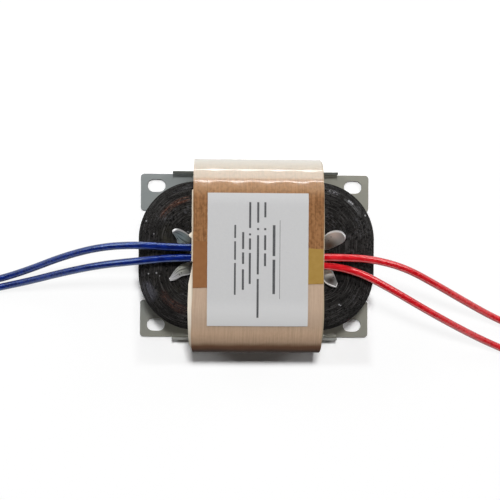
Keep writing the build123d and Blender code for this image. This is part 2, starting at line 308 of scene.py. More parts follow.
# Windings: hundreds of turns of enamelled copper wire in layers, the primary under the secondary, with polyester
# tape between them and over them.
TURN_PITCH = 0.0004
copper = new_finish("enamelled_copper", {"Metallic": 0.85, "Roughness": 0.28, "Coat Weight": 0.5})
copper_place = standing(copper)
turns = work_out(copper, "SINE", times(copper, coordinate(copper, copper_place, "X"), math.tau / TURN_PITCH))
copper_tint = cloud(copper, copper_place, (0.0004, 0.004, 0.004))
give(copper, "Base Color", mix(copper, copper_tint, shade(166, 84, 42), shade(204, 118, 66)))
relief(copper, turns, 0.0001)
coil_tape = new_finish("amber_coil_tape", {"Roughness": 0.25, "Coat Weight": 0.3})
tape_laps = cloud(coil_tape, standing(coil_tape), (0.006, 0.012, 0.012))
give(coil_tape, "Base Color", mix(coil_tape, tape_laps, shade(206, 160, 62), shade(224, 184, 88)))
relief(coil_tape, tape_laps, 0.00008)
for place in ("rear", "front"):
    for layer in ("primary_winding", "secondary_winding"):
        paint(f"{place}_{layer}", copper)
    for layer in ("interlayer_tape", "coil_tape"):
        paint(f"{place}_{layer}", coil_tape)

# Splices: each winding's end is soldered to its lead in the hollow between the coils, under the wrap, and the joint
# is covered by a short length of black shrink sleeve.
shrink = new_finish("black_shrink_sleeve", {"Roughness": 0.38})
shrink_place = cloud(shrink, standing(shrink), (0.002, 0.001, 0.001))
give(shrink, "Base Color", mix(shrink, shrink_place, shade(20, 20, 21), shade(38, 38, 39)))
relief(shrink, shrink_place, 0.0001)
for place in ("rear", "front"):
    for colour in ("blue", "red"):
        paint(f"{place}_{colour}_splice_sleeve", shrink)

# Leads: four lengths of stranded hook-up wire in glossy PVC, two blue and two red. Each leaves its splice under the
# wrap, clears the core's end, sags to the bench and lies there. Its end is stripped, twisted and tinned.
LEAD_DIAMETER = 0.0026
STRAND = 0.00042
STRAND_CIRCLE = 0.00043
STRANDS = 6
TINNED_LENGTH = 0.0059
TWIST_PITCH = 0.007
STRAND_STEPS = 8
lead_routes = {
    "rear_blue": [
        (-0.016, 0.0027, 0.0323), (-0.028, 0.0027, 0.0323), (-0.0405, 0.0036, 0.0309), (-0.054, 0.0028, 0.0256),
        (-0.0675, -0.0006, 0.0178), (-0.081, -0.0056, 0.009), (-0.094, -0.0096, 0.0022), (-0.107, -0.0112, 0.0013),
        (-0.119, -0.0084, 0.0013), (-0.128, -0.0012, 0.0013), (-0.1315, 0.009, 0.0013), (-0.1295, 0.019, 0.0013),
    ],
    "front_blue": [
        (-0.016, -0.0006, 0.0323), (-0.028, -0.0006, 0.0323), (-0.0405, -0.0019, 0.0308), (-0.054, -0.0034, 0.0254),
        (-0.0675, -0.0062, 0.0174), (-0.0805, -0.0095, 0.0092), (-0.093, -0.0122, 0.0024), (-0.106, -0.015, 0.0013),
        (-0.1185, -0.0196, 0.0013), (-0.1285, -0.0276, 0.0013), (-0.134, -0.038, 0.0013), (-0.1346, -0.0485, 0.0013),
    ],
    "rear_red": [
        (0.016, -0.0002, 0.0323), (0.027, -0.0002, 0.0323), (0.0385, -0.0006, 0.0309), (0.051, -0.0036, 0.0266),
        (0.0635, -0.0098, 0.0204), (0.076, -0.0163, 0.0126), (0.088, -0.0222, 0.0048), (0.1, -0.027, 0.0013),
        (0.1125, -0.028, 0.0013), (0.1235, -0.0228, 0.0013), (0.13, -0.013, 0.0013), (0.131, -0.002, 0.0013),
    ],
    "front_red": [
        (0.016, -0.0029, 0.0304), (0.0245, -0.0029, 0.0304), (0.035, -0.0053, 0.0299), (0.046, -0.011, 0.0274),
        (0.058, -0.0177, 0.0226), (0.07, -0.0239, 0.0156), (0.082, -0.0296, 0.0076), (0.0935, -0.0344, 0.002),
        (0.105, -0.0392, 0.0013), (0.117, -0.0424, 0.0013), (0.1285, -0.0406, 0.0013), (0.137, -0.033, 0.0013),
    ],
}


def pvc(name, dark, light, sheen):
    """Glossy PVC insulation, a little uneven along its length."""
    finish = new_finish(name, {"Roughness": 0.2, "IOR": 1.6, "Specular IOR Level": 1.0, "Specular Tint": sheen})
    place = standing(finish)
    waves = step(finish, cloud(finish, place, (0.003, 0.0008, 0.0008), 3.0), 0.35, 0.7)
    give(finish, "Base Color", mix(finish, waves, dark, light))
    relief(finish, cloud(finish, place, (0.0012, 0.0007, 0.0007), 5.0, 4.0), 0.0001)
    return finish


insulation = {
    "blue": pvc("blue_pvc", shade(4, 18, 84), shade(14, 40, 128), (0.5, 0.68, 1, 1)),
    "red": pvc("red_pvc", shade(196, 10, 24), shade(226, 36, 46), (1, 0.7, 0.68, 1)),
}
tin = new_finish("tinned_strands", {"Metallic": 1.0, "Roughness": 0.3})
tin_place = cloud(tin, standing(tin), (0.0006, 0.0006, 0.0006))
give(tin, "Base Color", mix(tin, tin_place, shade(186, 186, 184), shade(222, 222, 220)))
relief(tin, tin_place, 0.00005)


def spline(curve, points, radius):
    """Add one smooth line through these control points."""
    line = curve.splines.new("NURBS")
    line.points.add(len(points) - 1)
    for point, place in zip(line.points, points):
        point.co = (*place, 1)
    line.order_u = 3
    line.use_endpoint_u = True
    line.resolution_u = 12
    curve.dimensions = "3D"
    curve.bevel_depth = radius
    curve.use_fill_caps = True


for name, route in lead_routes.items():
    colour = name.split("_")[1]
    strands = bpy.data.curves.new(f"{name}_twisted_end", "CURVE")
    end = Vector(route[-1])
    forward = (end - Vector(route[-2])).normalized()
    sideways = forward.cross(Vector((0, 0, 1)))
    for strand in range(STRANDS + 1):
        reach = STRAND_CIRCLE if strand < STRANDS else 0.0
        turn_points = []
        for part in range(STRAND_STEPS + 1):
            along = TINNED_LENGTH * part / STRAND_STEPS
            angle = math.tau * (strand / STRANDS + along / TWIST_PITCH)
            aside = sideways * math.cos(angle) + Vector((0, 0, math.sin(angle)))
            turn_points.append(end + forward * along + aside * reach)
        spline(strands, turn_points, STRAND / 2)
    twisted = fit(f"{name}_twisted_end", strands, tin, "tinned_copper", f"{name}_tinned_end")
    wire = bpy.data.curves.new(f"{name}_wire", "CURVE")
    spline(wire, route, LEAD_DIAMETER / 2)
    wire.bevel_resolution = 6
    lead = fit(f"{name}_wire", wire, insulation[colour], f"{colour}_insulation", f"{name}_lead")

# Inner wrap: cream insulating paper, wound round both coils to belt them together. It went on a little skew, so its
# edge stands out as a pale lip on the left of the front coil.
PAPER = 0.00025
CREAM_START = -0.04
CREAM_RIGHT = 0.00028
CREAM_WAVE = 0.00008
CREAM_WAVE_RUN = 0.0043
CREAM_EDGE = 0.0005
CREAM_EDGE_START = -0.0018
CREAM_EDGE_END = 0.0226
TAB = 0.0016
TAB_PLACE = 0.0070
TAB_HALF = 0.0015
LIP = 0.0016
LIP_WAVE = 0.00012
LIP_WAVE_RUN = 0.0037
KRAFT_SHADE_EDGE = (-0.0006, 0.0001)
lip_places = ((-0.0381, 0.0), (-0.0355, 0.45), (-0.0330, 0.85), (-0.0290, 1.0), (-0.0095, 1.0), (-0.0018, 0.0))

cream_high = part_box("cream_paper_wrap")[1]
film_low, film_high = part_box("film_wrap")
wrap_radius = film_high.z - core_axis_z
leg_y = film_high.y - wrap_radius
turn_run = math.pi * wrap_radius
belt_run = 4 * leg_y + 2 * turn_run


def on_belt(run, radius):
    """Point on a belt round both coils, by the way run from the middle of its top towards the rear coil, which is
    counted at the wrap's outside."""
    run %= belt_run
    if run < leg_y:
        return Vector((0, run, core_axis_z + radius))
    run -= leg_y
    if run < turn_run:
        angle = run / wrap_radius
        return Vector((0, leg_y + radius * math.sin(angle), core_axis_z + radius * math.cos(angle)))
    run -= turn_run
    if run < 2 * leg_y:
        return Vector((0, leg_y - run, core_axis_z - radius))
    run -= 2 * leg_y
    if run < turn_run:
        angle = run / wrap_radius
        return Vector((0, -leg_y - radius * math.sin(angle), core_axis_z - radius * math.cos(angle)))
    return Vector((0, run - turn_run - leg_y, core_axis_z + radius))


def evenly(first, last, steps):
    """Evenly spaced values from first to last."""
    return [first + (last - first) * index / steps for index in range(steps + 1)]


def belt(name, inner, outer, runs, columns, left, right, swell=lambda run, x: 0.0, skew=lambda run, x: 0.0):
    """Belt of sheet between two radii and two side edges. Runs that end one turn after their start close it."""
    closed = abs(runs[-1] - runs[0] - belt_run) < 1e-6
    rows = []
    for run in runs[:-1] if closed else runs:
        xs = evenly(left(run), right(run), columns)
        outside = [on_belt(run + skew(run, x), outer + swell(run, x)) + Vector((x, 0, 0)) for x in xs]
        inside = [on_belt(run + skew(run, x), inner) + Vector((x, 0, 0)) for x in reversed(xs)]
        rows.append(outside + inside)
    xs = evenly(left(runs[0]), right(runs[0]), columns)
    return skin(name, rows, runs, xs + xs[::-1] + xs[:1])


def lip(run):
    """How far the cream paper's left edge stands out there."""
    run = run - belt_run if run > belt_run / 2 else run
    reach = CREAM_EDGE if CREAM_EDGE_START < run < CREAM_EDGE_END else 0.0
    reach = max(reach, TAB * (1 - abs(run - TAB_PLACE) / TAB_HALF))
    for (low, low_share), (high, high_share) in zip(lip_places, lip_places[1:]):
        if low <= run <= high:
            share = low_share + (high_share - low_share) * (run - low) / (high - low)
            reach = LIP * share + LIP_WAVE * share * math.sin(run / LIP_WAVE_RUN)
    return reach


cream_radius = cream_high.z - core_axis_z
cream_mesh = dress(
    belt(
        "cream_paper", cream_radius - PAPER, cream_radius, evenly(CREAM_START, CREAM_START + belt_run, 420), 6,
        lambda run: -cream_high.x - lip(run),
        lambda run: cream_high.x + CREAM_RIGHT + CREAM_WAVE * math.sin(run / CREAM_WAVE_RUN),
    )
)
cream = new_finish("cream_insulating_paper", {"Roughness": 0.8})
cream_fibres = cloud(cream, mapped(cream), (0.006, 0.0006, 1), 4.0)
cream_colour = mix(cream, cream_fibres, shade(222, 211, 193), shade(240, 232, 218))
# Painted shade: the cream paper darkens next to the kraft paper's edge, where the kraft paper shades it.
painted_shade_by_kraft = step(cream, coordinate(cream, standing(cream), "X"), *(place - cream_high.x for place in KRAFT_SHADE_EDGE))
give(cream, "Base Color", mix(cream, painted_shade_by_kraft, cream_colour, shade(176, 160, 136)))
relief(cream, cream_fibres, 0.00006)
fit("cream_paper_belt", cream_mesh, cream, "cream_paper", "cream_paper_wrap")

# Kraft wrap: tan kraft paper over the cream paper. It is bare on the front coil, where its grain and the faint
# creases of its winding show. Its round side is painted lighter than its flat top, as painted light, and a dark band
# of painted shade lies along it.
KRAFT = 0.00036
KRAFT_WAVE = 0.00006
KRAFT_WAVE_X = 0.0031
KRAFT_WAVE_RUN = 0.009
KRAFT_EDGE_WAVES = ((0.00009, 0.0061), (0.00004, 0.0017))
RIGHT_EDGE_SHIFT = 0.05
BARE_EDGE = 0.0005
BARE_EDGE_PLACE = 0.026
BARE_EDGE_HALF = 0.016
PAINTED_LIGHT_HEIGHTS = (0.0135, 0.0168)
SHADE_BAND_WANDER = 0.0014
SHADE_BAND_EDGE = (0.0126, 0.0096)
SHADE_BAND_MIDDLE = (0.0098, 0.0052)

kraft_low, kraft_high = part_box("kraft_paper_wrap")
kraft_radius = kraft_high.z - core_axis_z


def kraft_edge(run):
    """How far the kraft paper's edge is in from its widest there."""
    return sum(depth * (1 + math.sin(run / length)) for depth, length in KRAFT_EDGE_WAVES)


def kraft_left(run):
    """The left edge, which runs out a little where the film has left the kraft paper bare."""
    bare = max(0.0, 1 - abs(run - (belt_run - BARE_EDGE_PLACE)) / BARE_EDGE_HALF)
    return kraft_low.x + kraft_edge(run) - BARE_EDGE * min(1.0, 2 * bare)


kraft_mesh = dress(
    belt(
        "kraft_paper", kraft_radius - KRAFT, kraft_radius, evenly(0, belt_run, 260), 30,
        kraft_left, lambda run: kraft_high.x - kraft_edge(run + RIGHT_EDGE_SHIFT),
        lambda run, x: -KRAFT_WAVE * (1 + math.sin(x / KRAFT_WAVE_X + math.sin(run / KRAFT_WAVE_RUN))) / 2,
    )
)


def kraft_pattern(finish, dark, light, blotch, mottling):
    """Kraft paper's colour: long fibres that run round the belt, uneven blotches across them and mottling."""
    place = mapped(finish)
    fibres = cloud(finish, place, (0.012, 0.00045, 1), 5.0)
    mottle = cloud(finish, place, (0.0012, 0.0010, 1), 3.0, 3.0)
    blotches = step(finish, cloud(finish, place, (0.007, 0.005, 1), 4.0, 9.0), 0.35, 0.65)
    colour = mix(finish, step(finish, fibres, 0.3, 0.7), dark, light)
    colour = mix(finish, times(finish, blotches, 0.5), colour, blotch)
    colour = mix(finish, times(finish, step(finish, mottle, 0.55, 0.25), mottling), colour, dark)
    colour = mix(finish, times(finish, step(finish, mottle, 0.45, 0.75), mottling), colour, light)
    return colour, fibres


kraft = new_finish("bare_kraft_paper", {"Roughness": 0.7, "Specular IOR Level": 0.08})
kraft_colour, kraft_fibres = kraft_pattern(
    kraft, shade(199, 167, 139), shade(217, 186, 157), shade(213, 180, 152), 0.3
)
kraft_height = coordinate(kraft, standing(kraft), "Z")
# Painted light: the round sides are painted lighter than the flat top, which is mixed halfway to a darker colour.
flat_top_painted_darker = step(kraft, kraft_height, *(core_axis_z + height for height in PAINTED_LIGHT_HEIGHTS))
kraft_colour = mix(kraft, times(kraft, flat_top_painted_darker, 0.5), kraft_colour, shade(152, 138, 126))
# Painted shade: a dark band along the round side, darkest in its middle, whose edge wanders.
shade_band_wander = cloud(kraft, mapped(kraft), (0.004, 0.006, 1), 4.0, 2.0)
from_axis = work_out(kraft, "ABSOLUTE", work_out(kraft, "SUBTRACT", kraft_height, core_axis_z))
from_axis = work_out(kraft, "ADD", from_axis, times(kraft, shade_band_wander, SHADE_BAND_WANDER))
painted_shade_colour = mix(kraft, step(kraft, from_axis, *SHADE_BAND_MIDDLE), shade(134, 97, 73), shade(60, 41, 32))
give(kraft, "Base Color", mix(kraft, step(kraft, from_axis, *SHADE_BAND_EDGE), kraft_colour, painted_shade_colour))
relief(kraft, kraft_fibres, 0.00006)
fit("kraft_paper_belt", kraft_mesh, kraft, "kraft_paper", "kraft_paper_wrap")

# Film: clear glossy polyester over the kraft paper, which darkens it. It covers the rear coil and the flat top as
# far as a slightly slanted edge. Its shallow ripples break up what it reflects. On the rear coil's round side its
# colour is painted paler in bands, a painted reflection.
FILM = 0.0001
FILM_START = -0.01
FILM_SLANT = 0.00085
FILM_EDGE_SHARE = 0.6
RIPPLE = 0.000054
RIPPLE_LENGTH = 0.0108
RIPPLE_PLACE = 0.0073
RIPPLE_ROW = 0.0261
RIPPLE_ROWS = 0.0049
RIPPLE_SHIFT = 0.0032
SHORT_RIPPLE_SHARE = 0.15
SHORT_RIPPLE_X = 0.0049
SHORT_RIPPLE_RUN = 0.012
CREASE = 0.00013
CREASE_ANGLE = math.radians(70)
CREASE_START = 0.004
CREASE_GROWTH = 0.01
CREASE_END = 0.0205
CREASE_FADE = 0.004
CREASE_RISE = 0.0005
CREASE_WIDTH = 0.0011

film_end = 2 * leg_y + turn_run - FILM_START
crease_run = leg_y + CREASE_ANGLE * wrap_radius


def ripple(run, x):
    """Swell of the film there, which its waves and one crease only take inward."""
    share = max(0.0, min(1.0, (run - RIPPLE_ROW) / RIPPLE_ROWS))
    along = (x + RIPPLE_PLACE - RIPPLE_SHIFT * share**2 * (3 - 2 * share)) / RIPPLE_LENGTH
    long_wave = -math.cos(math.tau * along) * math.cos(math.tau * (run - RIPPLE_ROW) / RIPPLE_ROWS)
    short_wave = math.sin(math.tau * (x / SHORT_RIPPLE_X + run / SHORT_RIPPLE_RUN))
    wave = (1 - SHORT_RIPPLE_SHARE) * long_wave + SHORT_RIPPLE_SHARE * short_wave
    crease_share = max(0.0, min(1.0, (x - CREASE_START) / CREASE_GROWTH, (CREASE_END - x) / CREASE_FADE))
    crease = crease_share * math.exp(-(((run - crease_run - CREASE_RISE * crease_share) / CREASE_WIDTH) ** 2))
    return -RIPPLE * (1 - wave) / 2 - CREASE * crease


def film_skew(run, x):
    """Slant of the film's two ends."""
    return FILM_SLANT * x / film_high.x * (1 - 2 * (run - FILM_START) / (film_end - FILM_START))


film_mesh = dress(
    belt(
        "film", wrap_radius - FILM, wrap_radius, evenly(FILM_START, film_end, 240), 64,
        lambda run: film_low.x + FILM_EDGE_SHARE * kraft_edge(run),
        lambda run: film_high.x - FILM_EDGE_SHARE * kraft_edge(run + RIGHT_EDGE_SHIFT),
        ripple, film_skew,
    )
)
film = new_finish("film_on_kraft_paper", {"IOR": 1.65, "Roughness": 0.36, "Coat Weight": 1.0, "Coat Roughness": 0.09})
film_colour = kraft_pattern(film, shade(112, 74, 42), shade(164, 118, 78), shade(158, 111, 70), 0.8)[0]
across_film = coordinate(film, standing(film), "Y")
# Paler bands of painted reflection on the rear coil's round side: start and end across the part, share and colour.
for start, end, share, painted_light_tint in (
    (0.019, 0.0235, 0.22, shade(214, 180, 140)),
    (0.0256, 0.027, 0.5, shade(194, 187, 170)),
    (0.0285, 0.0325, 0.65, shade(224, 219, 206)),
):
    painted_reflection_share = times(film, step(film, across_film, start, end), share)
    film_colour = mix(film, painted_reflection_share, film_colour, painted_light_tint)
give(film, "Base Color", film_colour)
fit("film_belt", film_mesh, film, "film_over_kraft", "film_wrap")

# Yellow tape: one strip of golden polyester tape, stuck across the flat top over the film. Its left end is thin and
# lets the brown of the kraft paper through.
TAPE_LEFT_RISE = 0.0026
TAPE_LEFT_DROP = 0.0016
TAPE_SETBACK = 0.00012

tape_low, tape_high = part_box("yellow_tape")


def tape_skew(run, x):
    """The strip is wider at its left end."""
    share = (run - tape_low.y) / (tape_high.y - tape_low.y)
    return (TAPE_LEFT_RISE * share - TAPE_LEFT_DROP * (1 - share)) * (tape_high.x - x) / (2 * tape_high.x)


yellow_mesh = dress(
    belt(
        "yellow_tape", wrap_radius, wrap_radius + tape_high.z - tape_low.z, evenly(tape_low.y, tape_high.y, 24), 30,
        lambda run: tape_low.x + TAPE_SETBACK, lambda run: tape_high.x - TAPE_SETBACK, skew=tape_skew,
    )
)
yellow = new_finish("golden_tape", {"Roughness": 0.3, "Coat Weight": 0.4, "Coat Roughness": 0.15})
yellow_share = step(yellow, coordinate(yellow, standing(yellow), "X"), -0.012, 0.012)
yellow_mottle = cloud(yellow, mapped(yellow), (0.002, 0.002, 1), 4.0)
faint = mix(yellow, yellow_mottle, shade(128, 84, 50), shade(156, 110, 72))
golden = mix(yellow, yellow_mottle, shade(154, 120, 58), shade(174, 142, 78))
give(yellow, "Base Color", mix(yellow, yellow_share, faint, golden))
fit("yellow_tape_strip", yellow_mesh, yellow, "yellow_tape", "yellow_tape")

# Label: matt grey-white paper, stuck over the tape and bent down a little over both coils. Its print is only plain
# bars and a thin rule.
LABEL = 0.00012
INK = 0.000012

label_low, label_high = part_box("label")
label_radius = label_high.z - core_axis_z - INK


def run_at(y):
    """Way run along the belt to a place on its top, whose ends bend down over the coils."""
    over = abs(y) - leg_y
    return math.copysign(leg_y + wrap_radius * math.asin(over / label_radius), y) if over > 0 else y


label_mesh = dress(
    belt(
        "label", label_radius - LABEL, label_radius, evenly(run_at(label_low.y), run_at(label_high.y), 60), 20,
        lambda run: label_low.x, lambda run: label_high.x,
    )
)
label = new_finish("matt_label_paper", {"Roughness": 0.55, "Specular IOR Level": 0.3})
label_grain = cloud(label, standing(label), (0.0006, 0.0006, 0.0006), 3.0)
# Painted light: the label's lower end is painted lighter, which makes up for the light falling off there.
painted_light_label_end = step(label, coordinate(label, standing(label), "Y"), -0.013, -0.025)
label_colour = mix(label, label_grain, shade(192, 192, 193), shade(198, 198, 198))
give(label, "Base Color", mix(label, painted_light_label_end, label_colour, shade(216, 216, 216)))
relief(label, label_grain, 0.00003)
fit("label_sheet", label_mesh, label, "label_paper", "label")

# Each line of print: its place across the label, its width, and where its bars start and end.
print_bars = (
    (0.0072, 0.00014, (0.0122, -0.0144)),
    (0.0052, 0.0009, (0.0105, 0.0001), (-0.0011, -0.0127)),
    (0.0022, 0.0007, (0.0182, 0.0131), (0.0095, 0.0088), (0.0071, 0.0021), (0.0010, -0.0033)),
    (-0.0002, 0.0007, (0.0182, 0.0113), (0.0095, 0.0088), (0.0071, -0.0061), (-0.0076, -0.0207)),
    (-0.0029, 0.0007, (0.0182, 0.0095), (0.0077, 0.0070), (0.0060, 0.0022), (0.0011, -0.0093)),
    (-0.0052, 0.0007, (0.0081, 0.0024), (0.0013, -0.0026), (-0.0044, -0.0113)),
    (-0.0079, 0.0006, (0.0105, 0.0061), (0.0050, -0.0012), (-0.0023, -0.0130)),
)
ink_work = bmesh.new()
for x, width, *stretches in print_bars:
    for first, last in stretches:
        bar = belt(
            "bar", label_radius, label_radius + INK, evenly(run_at(last), run_at(first), 12), 1,
            lambda run: x - width / 2, lambda run: x + width / 2,
        )
        ink_work.from_mesh(bar)
ink_mesh = bpy.data.meshes.new("print")
ink_work.to_mesh(ink_mesh)
ink_work.free()
ink = new_finish("grey_ink", {"Roughness": 0.5})
ink_wear = cloud(ink, standing(ink), (0.0008, 0.0008, 0.0008), 2.0)
give(ink, "Base Color", mix(ink, ink_wear, shade(70, 70, 72), shade(98, 98, 100)))
fit("label_print", dress(ink_mesh), ink, "label_paper")

# Mounting bracket: one piece cut from galvanised sheet, with bare sheared edges. Its plate has a slotted ear at each
# corner and a low flange folded up on both long sides. A tongue goes up through the core's window at each end, and is
# split into two petals, which are bent out over the core to hold it down and are scuffed by the bending. The petals'
# colour also carries painted reflections, highlights and shade, and the sheared edges' colour painted light and shade.
SHEET = 0.0009
SHEET_EDGE = 0.00012
TONGUE_X = 0.0227
TONGUE_HALF = 0.0058
PETAL_SPLIT = 0.0022
FOLD = 0.0004
RELIEF_WIDTH = 0.0012
RELIEF_DEPTH = 0.0016
NOTCH_HALF = 0.01628
NOTCH_CORNER = 0.0015
EAR_CORNER = 0.0013
SLOT_WIDTH = 0.0045
SLOT_LENGTH = 0.0065
SLOT_X = 0.036
SLOT_Y = 0.0254
EAR_SETBACK = 0.00075
FLANGE_HALF = 0.03
FLANGE_HEIGHT = 0.0055
FLANGE_BEND = 0.0024
FLANGE_SHEAR_WIDTH = 0.00006
FLANGE_SHEAR_DEPTH = 0.0002
PETAL_ROWS = 16
PETAL_COLUMNS = 8
# Inner and outer edge of each petal, in millimetres: out from the tongue, across the part, and up from the core.
petal_edges = {
    (-1, 1): (
        ((0.45, 2.2, 0), (2.6, 2.4, 0), (4.95, 4.0, 0.1), (5.6, 5.8, 0.5), (6.9, 7.9, 1.6)),
        ((0.45, 5.8, 0), (1.2, 6.9, 0.6), (2.7, 8.2, 1.6), (5.2, 9.1, 2.3), (6.9, 8.4, 2.1)),
    ),
    (-1, -1): (
        ((0.45, -2.2, 0), (2.7, -2.7, 0), (5.05, -3.85, 0.1), (6.45, -5.7, 0.3), (7.8, -8.1, 1.2)),
        ((0.45, -5.8, 0), (1.75, -6.8, 0.8), (3.65, -7.15, 1.7), (5.55, -8.1, 2.1), (7.7, -8.4, 1.7)),
    ),
    (1, 1): (
        ((0.45, 2.2, 0), (2.4, 2.4, 0), (5.2, 3.7, 0.1), (7.3, 5.1, 0.4), (7.9, 6.4, 0.9)),
        ((0.45, 5.8, 0), (2.2, 8.3, 0.2), (4.6, 9.1, 0.7), (6.7, 8.5, 1.1), (7.8, 7.0, 1.1)),
    ),
    (1, -1): (
        ((0.45, -2.2, 0), (1.8, -2.9, 0), (3.35, -4.5, 0.8), (4.25, -6.4, 1.2), (5.3, -9.2, 1.4)),
        ((0.45, -5.8, 0), (0.8, -7.6, 0.4), (1.4, -9.2, 1.2), (2.85, -10.1, 2.1), (4.8, -10.5, 1.8)),
    ),
}


def smooth_line(points, steps):
    """Points on one smooth line through the given ones."""
    points = [Vector(point) for point in points]
    line = []
    for index in range(steps + 1):
        place = index / steps * (len(points) - 1)
        start = min(int(place), len(points) - 2)
        part = place - start
        before = points[max(start - 1, 0)]
        first, last = points[start], points[start + 1]
        after = points[min(start + 2, len(points) - 1)]
        leave, arrive = (last - before) / 2, (after - first) / 2
        line.append(
            first * (2 * part**3 - 3 * part**2 + 1) + leave * (part**3 - 2 * part**2 + part)
            + last * (3 * part**2 - 2 * part**3) + arrive * (part**3 - part**2)
        )
    return line


def height_over_core(x, y):
    """Height at which the middle of the sheet lies on the core there."""
    over_x = abs(x) - (core_half_length - CORE_CORNER)
    over_y = abs(y) - (core_half_width - CORE_CORNER)
    off = math.hypot(over_x, over_y) - CORE_CORNER if over_y > 0 else over_x - CORE_CORNER
    reach = core_half_length - TONGUE_X
    return core_axis_z + math.sqrt(max(0.0, reach**2 - off**2))


def arc(centre, radius, first, last, steps):
    """Points on an arc, in degrees."""
    return [
        (centre[0] + radius * math.cos(math.radians(angle)), centre[1] + radius * math.sin(math.radians(angle)))
        for angle in evenly(first, last, steps)
    ]


bracket_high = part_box("mounting_bracket")[1]
flange_outer = bracket_high.y
ear_end = bracket_high.x
ear_edge = flange_outer - EAR_SETBACK
fold_y = flange_outer - FLANGE_BEND
fold_x = TONGUE_X - FOLD
notch_x = TONGUE_X + SHEET / 2
tongue_ys = evenly(-TONGUE_HALF, -PETAL_SPLIT, PETAL_COLUMNS)
tongue_ys += evenly(-PETAL_SPLIT, PETAL_SPLIT, 6)[1:-1] + evenly(PETAL_SPLIT, TONGUE_HALF, PETAL_COLUMNS)
quarter = [
    (notch_x - RELIEF_DEPTH, TONGUE_HALF), (notch_x - RELIEF_DEPTH, TONGUE_HALF + RELIEF_WIDTH),
    (notch_x, TONGUE_HALF + RELIEF_WIDTH),
    *arc((notch_x + NOTCH_CORNER, NOTCH_HALF - NOTCH_CORNER), NOTCH_CORNER, 180, 90, 6),
    *arc((ear_end - EAR_CORNER, NOTCH_HALF + EAR_CORNER), EAR_CORNER, -90, 0, 8),
    *arc((ear_end - EAR_CORNER, ear_edge - EAR_CORNER), EAR_CORNER, 0, 90, 8),
    (FLANGE_HALF + FLANGE_SHEAR_WIDTH, ear_edge), (FLANGE_HALF + FLANGE_SHEAR_WIDTH, fold_y - FLANGE_SHEAR_DEPTH),
    (FLANGE_HALF, fold_y - FLANGE_SHEAR_DEPTH),
]
sheet_work = bmesh.new()
petal_map = sheet_work.loops.layers.uv.new(MAP)


def corner_at(x, y, z=SHEET / 2):
    """New corner of the sheet's middle."""
    return sheet_work.verts.new((x, y, z))


def strip_on(row, places):
    """Carry a fold or flat on from a row of corners, through rows of new places, and give the last row."""
    for next_places in places:
        next_row = [corner_at(*place) for place in next_places]
        for index in range(len(row) - 1):
            sheet_work.faces.new((row[index], row[index + 1], next_row[index + 1], next_row[index]))
        row = next_row
    return row


tongue_rows = {}
flange_rows = {}
outline = []
for side_x, side_y in ((1, 1), (-1, 1), (-1, -1), (1, -1)):
    part = [corner_at(side_x * x, side_y * y) for x, y in quarter]
    if side_x * side_y > 0:
        tongue_rows[side_x] = [corner_at(side_x * fold_x, side_x * y) for y in tongue_ys]
        flange_rows[side_y] = [corner_at(side_x * x, side_y * fold_y) for x in evenly(FLANGE_HALF, -FLANGE_HALF, 12)]
        outline += tongue_rows[side_x] + part + flange_rows[side_y]
    else:
        outline += reversed(part)
outline_edges = [sheet_work.edges.new(pair) for pair in zip(outline, outline[1:] + outline[:1])]
for side_x in (1, -1):
    for side_y in (1, -1):
        half_run = (SLOT_LENGTH - SLOT_WIDTH) / 2
        hole = arc((half_run, 0), SLOT_WIDTH / 2, -90, 90, 14) + arc((-half_run, 0), SLOT_WIDTH / 2, 90, 270, 14)
        ring = [corner_at(side_x * SLOT_X + x, side_y * SLOT_Y + y) for x, y in hole]
        outline_edges += [sheet_work.edges.new(pair) for pair in zip(ring, ring[1:] + ring[:1])]
bmesh.ops.triangle_fill(sheet_work, edges=outline_edges, use_beauty=True)
for side_y, row in flange_rows.items():
    bend = arc((fold_y, FLANGE_BEND), FLANGE_BEND - SHEET / 2, -90, 0, 8)[1:]
    profile = bend + [(flange_outer - SHEET / 2, z) for z in evenly(FLANGE_BEND, FLANGE_HEIGHT, 3)[1:]]
    strip_on(row, [[(corner.co.x, side_y * y, z) for corner in row] for y, z in profile])
for side_x, row in tongue_rows.items():
    bend = arc((fold_x, SHEET / 2 + FOLD), FOLD, -90, 0, 4)[1:]
    profile = bend + [(TONGUE_X, z) for z in evenly(SHEET / 2 + FOLD, core_axis_z, 8)[1:]]
    top = strip_on(row, [[(side_x * x, corner.co.y, z) for corner in row] for x, z in profile])
    for side_y in (1, -1):
        root = [corner for corner in top if side_y * corner.co.y > PETAL_SPLIT - 1e-6]
        root.sort(key=lambda corner: side_y * corner.co.y)
        inner_edge, outer_edge = (smooth_line(edge, PETAL_ROWS) for edge in petal_edges[(side_x, side_y)])
        places = []
        for inner, outer in zip(inner_edge[1:], outer_edge[1:]):
            across = [(inner + (outer - inner) * share) / 1000 for share in evenly(0, 1, PETAL_COLUMNS)]
            xs = [side_x * (TONGUE_X - SHEET / 2 + place.x) for place in across]
            places.append([(x, place.y, height_over_core(x, place.y) + place.z) for x, place in zip(xs, across)])
        first_petal_face = len(sheet_work.faces)
        strip_on(root, places)
        sheet_work.faces.ensure_lookup_table()
        for index, face in enumerate(sheet_work.faces[first_petal_face:]):
            face.material_index = 2
            row, column = divmod(index, PETAL_COLUMNS)
            for corner, (across, along) in zip(face.loops, ((0, 0), (1, 0), (1, 1), (0, 1))):
                corner[petal_map].uv = ((column + across) / PETAL_COLUMNS, (row + along) / PETAL_ROWS)
bmesh.ops.recalc_face_normals(sheet_work, faces=sheet_work.faces)
bracket_mesh = bpy.data.meshes.new("bracket")
sheet_work.to_mesh(bracket_mesh)
sheet_work.free()
bracket_mesh.shade_smooth()

